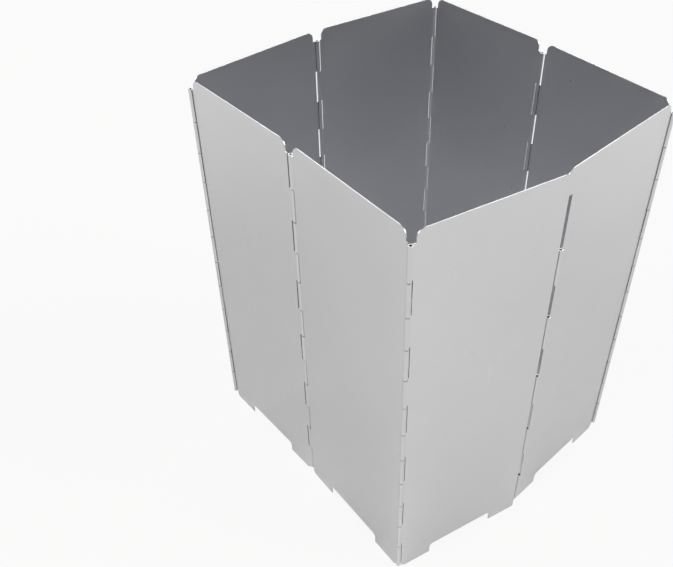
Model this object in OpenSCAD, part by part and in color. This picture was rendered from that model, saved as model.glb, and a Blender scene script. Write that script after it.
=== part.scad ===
// Folding stove windscreen: eight aluminium plates, joined edge to edge by rolled hinges with wire pins.
// It stands on edge as a square ring, two plates to a side. Plate 1 starts at the loose front seam and the
// plates run anticlockwise from there. At that seam plate 1 has a row of free loops and plate 8 a plain edge.
// Ground at z = 0, +Z up, the front side with the loose seam along +X.

/* [Plates] */
// Height of a plate from the ground to its top edge
plate_h = 240; // [200:1:300]
// Distance along a plate from one hinge axis to the next
hinge_pitch = 84; // [72:1:100]
// Thickness of the sheet
sheet_t = 0.5; // [0.4:0.05:0.7]
// Radius of the two top corners of a plate
corner_r = 4; // [2:0.5:6]
// Radius of the bottom corners of a plate beside its hinges
foot_r = 3; // [1:0.5:3]

/* [Air vents] */
// Height of the air vent in the bottom edge of a plate
vent_h = 6.8; // [4.5:0.1:10]
// Distance from a hinge axis to the vent, about the width of a foot
foot_w = 21; // [16:1:26]
// Radius of the upper corners of the vent
vent_r = 2.5; // [1:0.5:4]

/* [Hinges] */
// Diameter of the wire pin in a hinge
pin_d = 1.2; // [1:0.1:1.6]
// Clearance on the radius between a pin and the knuckles that turn on it
pin_play = 0.05; // [0.02:0.01:0.08]
// Number of knuckles along one hinge, taken in turn from its two plates
knuckle_count = 12; // [8:2:16]
// Gap along the hinge between one knuckle and the next
knuckle_gap = 0.4; // [0.2:0.1:0.8]
// Distance from the axis of a pin to the middle of the sheet that is rolled round it
plate_offset = 0.4; // [0.35:0.05:0.6]
// How far a knuckle is rolled round its pin, in degrees
roll_angle = 265; // [250:1:266]
// Open slot between a knuckle and the straight edge of the other plate
slot_w = 0.8; // [0.6:0.05:1.5]
// Width of the open notch between two plates above their hinge
notch_w = 5.8; // [5.4:0.1:8]
// Distance from the end of the rounded top corner down to the top knuckle
knuckle_drop = 2.2; // [1:0.1:5]
// Height of the lowest knuckle above the ground
knuckle_lift = 4; // [3.2:0.1:6]
// Depth of the top end of a pin below the top of its hinge
pin_recess = 1.2; // [0.6:0.1:3]

/* [Loose seam] */
// Number of free loops rolled along the first edge of plate 1
loop_count = 5; // [4:1:6]
// Height of the lowest free loop above the ground
loop_lift = 3.7; // [2:0.1:6]
// Distance from the top edge of plate 1 down to its highest free loop
loop_drop = 45; // [40:1:55]
// Open slot between a free loop and the straight edge beside it
loop_slot = 0.55; // [0.4:0.05:1.5]
// How much shorter it is from the free loops of plate 1 to its hinge than from one hinge to the next
loop_inset = 2.3; // [1.5:0.1:4]
// Height of the flap that stands out above the free loops
flap_h = 14.6; // [10:0.2:20]
// Width of that flap, and of the low one below the loops
flap_w = 6.1; // [4:0.1:7]
// Distance from the plain edge of plate 8 to where one more hinge axis would be
plain_trim = 2.9; // [2.5:0.1:4]

/* [Standing ring] */
// Bend in the middle of the right side, in degrees, positive when the side bulges outwards
right_bend = 3.2; // [1:0.1:12]
// Bend in the middle of the back side
back_bend = 9.1; // [1:0.1:12]
// Bend in the middle of the left side
left_bend = -2.9; // [-5:0.1:12]
// Bend at the loose seam in the middle of the front side
front_bend = 13.7; // [8:0.1:18]
// Turn from the right side to the back side at the far corner
far_turn = 82.7; // [76:0.1:90]
// Distance along the front side from the plain edge of plate 8 to the middle of the free loops
lap_step = 3.6; // [3:0.1:5]
// Gap between plates 8 and 1 at that plain edge
lap_gap = 1.4; // [1:0.1:2]

/* [Hidden] */
$fn = 24;
plate_count = 8;
bore_r = pin_d / 2 + pin_play;
barrel_r = bore_r + sheet_t;
sheet_low = plate_offset - sheet_t / 2;
edge_gap = barrel_r + slot_w;
hinge_top = plate_h - corner_r - knuckle_drop;
knuckle_len = (hinge_top - knuckle_lift - (knuckle_count - 1) * knuckle_gap) / knuckle_count;
knuckle_step = knuckle_len + knuckle_gap;
pin_bottom = knuckle_lift + knuckle_gap;
pin_top = hinge_top - pin_recess;
pin_chamfer = pin_d / 6;
first_pitch = hinge_pitch - loop_inset;
loop_edge = barrel_r + loop_slot;
loop_len = (plate_h - loop_drop - loop_lift) / (2 * loop_count - 1);
vent_w = hinge_pitch - 2 * foot_w;
wedge_reach = 4 * barrel_r;
sheet_color = [0.80, 0.80, 0.79];
pin_color = [0.56, 0.57, 0.58];

// Odd hinges roll to the outside of the ring and even ones to the inside, so the plates fold up like a fan.
// The free loops, numbered 0, roll to the outside.
function roll_side(hinge) = hinge == 0 || hinge % 2 == 1 ? 1 : -1;
function pitch_of(plate) = plate == 1 ? first_pitch : hinge_pitch;
function turned(p, a) = [p[0] * cos(a) - p[1] * sin(a), p[0] * sin(a) + p[1] * cos(a)];
function heading_of(p) = atan2(p[1], p[0]);

// Step from the hinge axis before a plate to the one after it, in the plate's own frame with y to the inside.
function plate_step(plate) = [pitch_of(plate), (roll_side(plate - 1) - roll_side(plate)) * plate_offset];

// Steps from corner to corner, in the frame of each side's first plate.
function side_step(bend) = plate_step(2) + turned(plate_step(3), bend);
last_end_x = hinge_pitch - plain_trim;
lap_foot_y = plate_offset + sheet_t + lap_gap + lap_step * tan(front_bend);
lap_foot = [last_end_x + lap_step, lap_foot_y];
lap_axis = lap_foot - turned([0, plate_offset], front_bend);
front_step = lap_axis + turned(plate_step(1), front_bend);
right_step = side_step(right_bend);
back_step = side_step(back_bend);
left_step = side_step(left_bend);

// The four sides close as a quadrilateral: the far corner is given, and the other corners follow from it.
back_heading = right_bend + far_turn + heading_of(back_step) - heading_of(right_step);
to_far = [norm(right_step), 0];
to_left = to_far + norm(back_step) * [cos(back_heading), sin(back_heading)];
across = norm(to_left);
left_side = norm(left_step);
left_cos = (pow(left_side, 2) + pow(across, 2) - pow(norm(front_step), 2)) / (2 * left_side * across);
left_heading = heading_of(-to_left) - acos(left_cos);
to_near = to_left + left_side * [cos(left_heading), sin(left_heading)];
front_heading = heading_of(-to_near);

// Headings of plates 1 to 8, turned so that the front side runs along +X.
side_headings = [
    -heading_of(front_step) + front_bend,
    -front_heading - heading_of(right_step),
    back_heading - front_heading - heading_of(back_step),
    left_heading - front_heading - heading_of(left_step),
    -heading_of(front_step)
];
headings = [
    side_headings[0],
    side_headings[1],
    side_headings[1] + right_bend,
    side_headings[2],
    side_headings[2] + back_bend,
    side_headings[3],
    side_headings[3] + left_bend,
    side_headings[4]
];
function axis_at(hinge) = hinge == 0 ? [0, 0]
    : axis_at(hinge - 1) + turned(plate_step(hinge), headings[hinge - 1]);

// The ring is centred on the middle of its own outline.
last_axis = axis_at(plate_count - 1);
last_out = last_axis + turned([last_end_x, plate_offset - sheet_t / 2], headings[plate_count - 1]);
axes = [for (hinge = [0:plate_count - 1]) axis_at(hinge)];
reach_x = concat([for (a = axes) a[0] - barrel_r], [for (a = axes) a[0] + barrel_r], [last_out[0]]);
reach_y = concat([for (a = axes) a[1] - barrel_r], [for (a = axes) a[1] + barrel_r], [last_out[1]]);
centre = [(min(reach_x) + max(reach_x)) / 2, (min(reach_y) + max(reach_y)) / 2];

// Bottom of one knuckle, counted from 1 at the top of the hinge.
function knuckle_z(i) = hinge_top - i * knuckle_len - (i - 1) * knuckle_gap;
// Bottom of one free loop, counted from 1 at the ground, with gaps as long as the loops.
function loop_z(i) = loop_lift + 2 * (i - 1) * loop_len;

// A square corner piece that leaves a rounded corner of radius r when it is cut away.
module corner_cut(r) {
    difference() {
        square(r);
        circle(r);
    }
}

// Outline of the sheet seen from the inside, with its vent and the tabs that roll into knuckles or loops.
module sheet_outline(plate) {
    pitch = pitch_of(plate);
    left = plate == 1 ? loop_edge : edge_gap;
    right = plate == plate_count ? last_end_x : pitch - edge_gap;
    top_left = plate == 1 ? loop_edge - flap_w : notch_w / 2;
    top_right = plate == plate_count ? last_end_x : pitch - notch_w / 2;
    foot_left = plate == 1 ? top_left : left;
    vent_x = pitch - foot_w - vent_w;
    difference() {
        union() {
            translate([left, 0]) square([right - left, hinge_top]);
            translate([top_left, plate_h - flap_h]) square([top_right - top_left, flap_h]);
            if (plate == 1) {
                translate([top_left, 0]) square([flap_w + corner_r, loop_lift - knuckle_gap]);
                for (i = [1:loop_count])
                    translate([0, loop_z(i)]) square([left + corner_r, loop_len]);
            } else
                for (i = [1:2:knuckle_count - 1])
                    translate([0, knuckle_z(i)]) square([left + corner_r, knuckle_len]);
            if (plate < plate_count)
                for (i = [2:2:knuckle_count])
                    translate([right - corner_r, knuckle_z(i)]) square([edge_gap + corner_r, knuckle_len]);
        }
        translate([top_left + corner_r, plate_h - corner_r]) mirror([1, 0]) corner_cut(corner_r);
        translate([top_right - corner_r, plate_h - corner_r]) corner_cut(corner_r);
        translate([foot_left + foot_r, foot_r]) mirror([1, 0]) mirror([0, 1]) corner_cut(foot_r);
        if (plate < plate_count)
            translate([right - foot_r, foot_r]) mirror([0, 1]) corner_cut(foot_r);
        difference() {
            translate([vent_x, -1]) square([vent_w, vent_h + 1]);
            translate([vent_x + vent_r, vent_h - vent_r]) mirror([1, 0]) corner_cut(vent_r);
            translate([vent_x + vent_w - vent_r, vent_h - vent_r]) corner_cut(vent_r);
        }
    }
}

// Rolled end of one tab: the tab comes in from +X a little to the +Y side of the pin and rolls round past -X.
module roll_section() {
    free_end = roll_angle - 270;
    difference() {
        circle(barrel_r);
        polygon([
            [0, 0],
            wedge_reach * [cos(free_end), sin(free_end)],
            [wedge_reach, sheet_low],
            [0, sheet_low]
        ]);
    }
}

// Rolled knuckles of one plate edge, with the hinge axis on the z axis.
module knuckle_row(first) {
    for (i = [first:2:knuckle_count])
        translate([0, 0, knuckle_z(i)]) linear_extrude(knuckle_len) roll_section();
}

// Free loops of plate 1, with their middle on the z axis.
module loop_row() {
    for (i = [1:loop_count])
        translate([0, 0, loop_z(i)]) linear_extrude(loop_len) roll_section();
}

// One plate: start edge on the axis of the hinge before it, end edge on the axis of the hinge after it.
module plate_shape(plate) {
    start_side = roll_side(plate - 1);
    end_side = roll_side(plate);
    mid_y = start_side * plate_offset;
    end_axis = [pitch_of(plate), mid_y - end_side * plate_offset, 0];
    bore_low = plate == 1 ? loop_lift : 0;
    bore_high = plate == 1 ? plate_h - loop_drop : hinge_top;
    translate([axes[plate - 1][0] - centre[0], axes[plate - 1][1] - centre[1], 0])
        rotate(headings[plate - 1])
            difference() {
                union() {
                    translate([0, mid_y + sheet_t / 2, 0])
                        rotate([90, 0, 0]) linear_extrude(sheet_t) sheet_outline(plate);
                    if (plate == 1)
                        loop_row();
                    else
                        mirror([0, start_side > 0 ? 0 : 1, 0]) knuckle_row(1);
                    if (plate < plate_count)
                        translate(end_axis)
                            mirror([0, end_side > 0 ? 0 : 1, 0]) mirror([1, 0, 0]) knuckle_row(2);
                }
                translate([0, 0, bore_low]) cylinder(r = bore_r, h = bore_high - bore_low);
                if (plate < plate_count)
                    translate(end_axis) cylinder(r = bore_r, h = hinge_top);
            }
}

// Wire pin with chamfered ends, sunk a little into the top knuckle.
module pin_shape(hinge) {
    translate([axes[hinge][0] - centre[0], axes[hinge][1] - centre[1], 0])
        rotate_extrude() polygon([
            [0, pin_bottom],
            [pin_d / 2 - pin_chamfer, pin_bottom],
            [pin_d / 2, pin_bottom + pin_chamfer],
            [pin_d / 2, pin_top - pin_chamfer],
            [pin_d / 2 - pin_chamfer, pin_top],
            [0, pin_top]
        ]);
}

module panel_1() {
    color(sheet_color) plate_shape(1);
}

module panel_2() {
    color(sheet_color) plate_shape(2);
}

module panel_3() {
    color(sheet_color) plate_shape(3);
}

module panel_4() {
    color(sheet_color) plate_shape(4);
}

module panel_5() {
    color(sheet_color) plate_shape(5);
}

module panel_6() {
    color(sheet_color) plate_shape(6);
}

module panel_7() {
    color(sheet_color) plate_shape(7);
}

module panel_8() {
    color(sheet_color) plate_shape(8);
}

module hinge_pin_1() {
    color(pin_color) pin_shape(1);
}

module hinge_pin_2() {
    color(pin_color) pin_shape(2);
}

module hinge_pin_3() {
    color(pin_color) pin_shape(3);
}

module hinge_pin_4() {
    color(pin_color) pin_shape(4);
}

module hinge_pin_5() {
    color(pin_color) pin_shape(5);
}

module hinge_pin_6() {
    color(pin_color) pin_shape(6);
}

module hinge_pin_7() {
    color(pin_color) pin_shape(7);
}

panel_1();
panel_2();
panel_3();
panel_4();
panel_5();
panel_6();
panel_7();
panel_8();
hinge_pin_1();
hinge_pin_2();
hinge_pin_3();
hinge_pin_4();
hinge_pin_5();
hinge_pin_6();
hinge_pin_7();
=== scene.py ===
from math import radians

import bpy
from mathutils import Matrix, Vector

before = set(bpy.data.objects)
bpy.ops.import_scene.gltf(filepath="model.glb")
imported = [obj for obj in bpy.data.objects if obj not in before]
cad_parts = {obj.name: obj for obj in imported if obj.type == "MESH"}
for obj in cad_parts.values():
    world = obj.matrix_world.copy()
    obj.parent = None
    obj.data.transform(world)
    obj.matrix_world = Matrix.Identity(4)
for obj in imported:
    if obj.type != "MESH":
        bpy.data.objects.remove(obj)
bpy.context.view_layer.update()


# The eight plates: half-millimetre aluminium sheet with the satin finish it leaves the rolling mill with.
# Each is blanked to one outline, vent and tabs included, and its tabs are rolled over into hinge knuckles.
# Handling leaves soft smudges, hairline scratches and a few specks, and the sheared edges stay bright.
class Shade:
    """A shader socket that can be used in arithmetic; each operation adds its own Math node."""

    def __init__(self, socket):
        self.socket = socket

    @classmethod
    def node(cls, tree, kind, sockets, out=0, **settings):
        """Adds a node: its settings first, then the value or link of each of its sockets."""
        made = tree.nodes.new("ShaderNode" + kind)
        for setting, value in settings.items():
            setattr(made, setting, value)
        for key, value in sockets.items():
            if isinstance(value, Shade):
                tree.links.new(value.socket, made.inputs[key])
            else:
                made.inputs[key].default_value = value
        return cls(made.outputs[out])

    def math(self, operation, first, second):
        return Shade.node(self.socket.id_data, "Math", {0: first, 1: second}, operation=operation)

    def __add__(self, other):
        return self.math("ADD", self, other)

    def __radd__(self, other):
        return self.math("ADD", other, self)

    def __sub__(self, other):
        return self.math("SUBTRACT", self, other)

    def __rsub__(self, other):
        return self.math("SUBTRACT", other, self)

    def __mul__(self, other):
        return self.math("MULTIPLY", self, other)

    def __rmul__(self, other):
        return self.math("MULTIPLY", other, self)

    def __lt__(self, other):
        return self.math("LESS_THAN", self, other)

    def __gt__(self, other):
        return self.math("GREATER_THAN", self, other)

    def __abs__(self):
        return self.math("ABSOLUTE", self, 0.0)


def stretched_noise(tree, place, stretch, turn=(0.0, 0.0, 0.0), detail=2.0):
    """Noise whose features are stretched and turned, for grain and scratches."""
    laid = Shade.node(tree, "Mapping", {"Vector": place, "Rotation": turn, "Scale": stretch})
    return Shade.node(tree, "TexNoise", {"Vector": laid, "Scale": 1.0, "Detail": detail})


def hairlines(tree, place, stretch, turn, patch_scale):
    """Thin broken lines: the level lines of a stretched noise, kept only in patches."""
    middle_level, line_width, patch_level = 0.5, 0.004, 0.58
    level = stretched_noise(tree, place, stretch, turn, detail=1.0)
    patch = Shade.node(tree, "TexNoise", {"Vector": place, "Scale": patch_scale, "Detail": 1.0})
    return (abs(level - middle_level) < line_width) * (patch > patch_level)


def blended(tree, share, under, over):
    """A colour that goes from under to over as share goes from 0 to 1."""
    sockets = {0: share}
    for key, colour in ((6, under), (7, over)):
        sockets[key] = colour if isinstance(colour, Shade) else (*colour, 1.0)
    return Shade.node(tree, "Mix", sockets, out=2, data_type="RGBA")


sheet = bpy.data.materials.new("mill_finish_aluminium")
sheet.use_nodes = True
tree = sheet.node_tree
place = Shade.node(tree, "TexCoord", {}, out="Object")

# Rolling grain up the plate, broad clouds, finger smudges, scratches two ways and a speck here and there.
grain = stretched_noise(tree, place, (1500.0, 1500.0, 30.0), detail=3.0)
clouds = Shade.node(tree, "TexNoise", {"Vector": place, "Scale": 16.0, "Detail": 4.0, "Roughness": 0.6})
smudges = Shade.node(tree, "TexNoise", {"Vector": place, "Scale": 55.0, "Detail": 3.0, "Distortion": 0.8})
long_scratches = hairlines(tree, place, (60.0, 60.0, 7.0), (0.35, 0.2, 0.4), patch_scale=30.0)
cross_scratches = hairlines(tree, place, (9.0, 9.0, 90.0), (0.25, -0.3, 0.1), patch_scale=26.0)
scratches = long_scratches + cross_scratches

speck_cells = {"Vector": place, "Scale": 70.0}
speck_size, speck_rarity = 0.04, 0.9
speck_distance = Shade.node(tree, "TexVoronoi", speck_cells)
speck_colour = Shade.node(tree, "TexVoronoi", speck_cells, out="Color")
speck_pick = Shade.node(tree, "SeparateColor", {"Color": speck_colour}, out="Red")
specks = (speck_distance < speck_size) * (speck_pick > speck_rarity)

# Faces that look up or down are where the sheet was sheared; the hinge slots are darkened with painted shade.
facing = Shade.node(tree, "NewGeometry", {}, out="Normal")
upright = Shade.node(tree, "SeparateXYZ", {"Vector": facing}, out="Z")
sheared_edge = abs(upright) > 0.5
slot_depth = 0.0025
crevice = Shade.node(tree, "AmbientOcclusion", {"Distance": slot_depth}, out="AO", samples=8)
painted_slot_shade = Shade.node(tree, "MapRange", {"Value": crevice, "From Min": 0.56, "From Max": 0.3, "To Max": 0.97})

# Painted shade: the mouth of the bore over each sunk pin, in the top knuckle of the plate's first hinge, is
# near black.
pin_hole_radius = 0.00062
first_hinge = Shade.node(tree, "Attribute", {}, out="Vector",
                         attribute_type="OBJECT", attribute_name="first_hinge")
from_hinge = Shade.node(tree, "VectorMath", {0: place, 1: first_hinge}, operation="SUBTRACT")
hinge_x = Shade.node(tree, "SeparateXYZ", {"Vector": from_hinge}, out="X")
hinge_y = Shade.node(tree, "SeparateXYZ", {"Vector": from_hinge}, out="Y")
painted_pin_hole_shade = (hinge_x * hinge_x + hinge_y * hinge_y < pin_hole_radius ** 2) * sheared_edge

dull_metal, clear_metal = (0.878, 0.889, 0.925), (0.924, 0.932, 0.963)
smudge_grey, speck_grey = (0.845, 0.854, 0.884), (0.22, 0.22, 0.22)
scratch_white, edge_white = (0.95, 0.95, 0.95), (0.92, 0.92, 0.92)
slot_shade_black, pin_hole_shade_black = (0.03, 0.03, 0.03), (0.02, 0.02, 0.02)
tint = blended(tree, clouds, dull_metal, clear_metal)
tint = blended(tree, 0.35 * smudges, tint, smudge_grey)
tint = blended(tree, 0.35 * specks, tint, speck_grey)
# Painted shade: hinge slots go towards near black where ambient occlusion finds them closed in.
tint = blended(tree, painted_slot_shade, tint, slot_shade_black)
tint = blended(tree, 0.25 * scratches, tint, scratch_white)
tint = blended(tree, 0.7 * sheared_edge, tint, edge_white)
# Painted shade in the mouth of the bore above the sunk pin.
tint = blended(tree, painted_pin_hole_shade, tint, pin_hole_shade_black)

satin = 0.2
roughness = (satin + 0.1 * clouds + 0.06 * smudges + 0.04 * grain + 0.06 * scratches
             + 0.06 * sheared_edge + 0.4 * painted_pin_hole_shade)
relief = 0.5 * grain + 0.2 * smudges - 0.3 * scratches - 0.5 * specks
bump = Shade.node(tree, "Bump", {"Height": relief, "Strength": 0.12, "Distance": 0.0002}, out="Normal")

sheet_inputs = tree.nodes["Principled BSDF"].inputs
sheet_inputs["Metallic"].default_value = 1.0
tree.links.new(tint.socket, sheet_inputs["Base Color"])
tree.links.new(roughness.socket, sheet_inputs["Roughness"])
tree.links.new(bump.socket, sheet_inputs["Normal"])

plate_count = 8
for plate in range(1, plate_count + 1):
    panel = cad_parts[f"panel_{plate}"]
    panel.data.materials.clear()
    panel.data.materials.append(sheet)
    if plate > 1:
        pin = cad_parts[f"hinge_pin_{plate - 1}"]
        pin_corners = [pin.matrix_world @ Vector(corner) for corner in pin.bound_box]
        pin_middle = sum(pin_corners, Vector()) / len(pin_corners)
        panel["first_hinge"] = list(panel.matrix_world.inverted() @ pin_middle)


# The seven hinge pins: drawn steel wire, pushed down through both plates' knuckles from the top.
# Each is cut a little short, so that its end lies sunk in the top knuckle.
wire = bpy.data.materials.new("drawn_steel_wire")
wire.use_nodes = True
tree = wire.node_tree
place = Shade.node(tree, "TexCoord", {}, out="Object")
draw_lines = stretched_noise(tree, place, (4000.0, 4000.0, 60.0))
hammer_marks = Shade.node(tree, "TexNoise", {"Vector": place, "Scale": 2500.0, "Detail": 2.0})
dark_steel, bright_steel = (0.4, 0.4, 0.4), (0.62, 0.61, 0.6)
wire_tint = blended(tree, hammer_marks, dark_steel, bright_steel)
wire_roughness = 0.25 + 0.2 * hammer_marks
wire_relief = draw_lines + hammer_marks
wire_bump = Shade.node(tree, "Bump", {"Height": wire_relief, "Strength": 0.3, "Distance": 0.0001}, out="Normal")

wire_inputs = tree.nodes["Principled BSDF"].inputs
wire_inputs["Metallic"].default_value = 1.0
tree.links.new(wire_tint.socket, wire_inputs["Base Color"])
tree.links.new(wire_roughness.socket, wire_inputs["Roughness"])
tree.links.new(wire_bump.socket, wire_inputs["Normal"])

for hinge in range(1, plate_count):
    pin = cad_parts[f"hinge_pin_{hinge}"]
    pin.data.materials.clear()
    pin.data.materials.append(wire)


# A plain white floor under the standing screen, wide enough to run out of every view.
# The camera sees it as near white where the sky reaches it, and as painted light beside the vents inside the
# ring.
# Its soft shadow at the feet and inside the ring is partly painted, where ambient occlusion takes the glow
# away, and partly the paper's own shade under the lamps.
floor_half = 6.0
floor_mesh = bpy.data.meshes.new("floor")
floor_corners = [(-floor_half, -floor_half, 0.0), (floor_half, -floor_half, 0.0),
                 (floor_half, floor_half, 0.0), (-floor_half, floor_half, 0.0)]
floor_mesh.from_pydata(floor_corners, [], [(0, 1, 2, 3)])
floor = bpy.data.objects.new("floor", floor_mesh)
bpy.context.scene.collection.objects.link(floor)

paper = bpy.data.materials.new("white_paper")
paper.use_nodes = True
tree = paper.node_tree
paper_node = tree.nodes["Principled BSDF"]
paper_node.inputs["Base Color"].default_value = (0.92, 0.92, 0.92, 1.0)
paper_node.inputs["Roughness"].default_value = 0.9
paper_node.inputs["Specular IOR Level"].default_value = 0.0
paper_shader = Shade(paper_node.outputs["BSDF"])
glow = Shade.node(tree, "Emission", {"Color": (1.0, 1.0, 1.0, 1.0), "Strength": 1.0})
seen = Shade.node(tree, "LightPath", {}, out="Is Camera Ray")
mirrored = Shade.node(tree, "LightPath", {}, out="Is Glossy Ray")

longer_along_y = 0.004  # the ring isn't quite square, so the light at its vents starts this much later along Y
spot = Shade.node(tree, "NewGeometry", {}, out="Position")
spot_x = Shade.node(tree, "SeparateXYZ", {"Vector": spot}, out="X")
spot_y = Shade.node(tree, "SeparateXYZ", {"Vector": spot}, out="Y")
# Painted light: in a band along the walls inside the ring, beside the vents, the floor glows white though it
# lies in the ring's shade.
from_middle = spot_x.math("MAXIMUM", abs(spot_x), abs(spot_y) - longer_along_y)
painted_vent_light = Shade.node(tree, "MapRange", {"Value": from_middle, "From Min": 0.068, "From Max": 0.079})
sky_reach = 0.3
open_sky = Shade.node(tree, "AmbientOcclusion", {"Distance": sky_reach}, out="AO", samples=16)
# Painted shadow: the glow fades where ambient occlusion finds the sky hidden, at the feet and inside the ring.
glow_with_painted_shadow = Shade.node(tree, "MapRange", {"Value": open_sky, "From Min": 0.1, "From Max": 0.5, "To Min": 0.2})
glow_with_painted_light_and_shade = painted_vent_light.math("MAXIMUM", painted_vent_light, glow_with_painted_shadow)
whiteness = 0.9 * seen * glow_with_painted_light_and_shade + 0.1 * mirrored
paper_look = Shade.node(tree, "MixShader", {0: whiteness, 1: paper_shader, 2: glow})
tree.links.new(paper_look.socket, tree.nodes["Material Output"].inputs["Surface"])
floor_mesh.materials.append(paper)


# Soft studio light: a dim white room and broad lamps round the screen, the strongest at the front right.
# The long, narrow lamp behind the far corner draws a bright line along the top edges.
room = bpy.data.worlds.new("white_room")
bpy.context.scene.world = room
room.use_nodes = True
tree = room.node_tree
room_light = 0.09
seen = Shade.node(tree, "LightPath", {}, out="Is Camera Ray")
room_strength = room_light + (1.0 - room_light) * seen
tree.links.new(room_strength.socket, tree.nodes["Background"].inputs["Strength"])
tree.nodes["Background"].inputs["Color"].default_value = (1.0, 1.0, 1.0, 1.0)

ring_middle = Vector((0.0, 0.0, 0.1))


def soft_lamp(name, spot, power, tint, width=1.2, height=1.2):
    """A flat lamp at spot that faces the middle of the screen."""
    lamp = bpy.data.lights.new(name, "AREA")
    lamp.shape = "RECTANGLE"
    lamp.size = width
    lamp.size_y = height
    lamp.energy = power
    lamp.color = tint
    holder = bpy.data.objects.new(name, lamp)
    holder.location = spot
    holder.rotation_euler = (ring_middle - Vector(spot)).to_track_quat("-Z", "Y").to_euler()
    bpy.context.scene.collection.objects.link(holder)


soft_lamp("front_lamp", (1.4, -1.4, 1.2), power=25.0, tint=(1.0, 0.98, 0.935))
soft_lamp("back_lamp", (-1.4, 1.4, 1.2), power=14.5, tint=(1.0, 0.985, 0.95))
soft_lamp("top_lamp", (0.0, 0.0, 2.2), power=2.5, tint=(0.95, 0.97, 1.0))
soft_lamp("left_lamp", (-2.0, 0.0, 1.2), power=11.0, tint=(1.0, 0.94, 0.85))
soft_lamp("edge_lamp", (1.4, 1.5, 1.5), power=9.0, tint=(1.0, 1.0, 1.0), width=1.7, height=0.5)


# The camera looks down on the near corner of the ring from the height of a person at a low table.
# The shift of its lens does no more than frame the ring.
camera_data = bpy.data.cameras.new("camera")
camera_data.sensor_width = 36.0
camera_data.lens = 43.95
camera_data.shift_x = -0.0239
camera_data.shift_y = -0.057
camera_data.clip_start = 0.01
camera = bpy.data.objects.new("camera", camera_data)
camera.location = (-0.24597, -0.26842, 0.43353)
camera.rotation_euler = (radians(51.313), radians(0.819), radians(-37.166))
bpy.context.scene.collection.objects.link(camera)
bpy.context.scene.camera = camera
bpy.context.scene.view_settings.view_transform = "Standard"
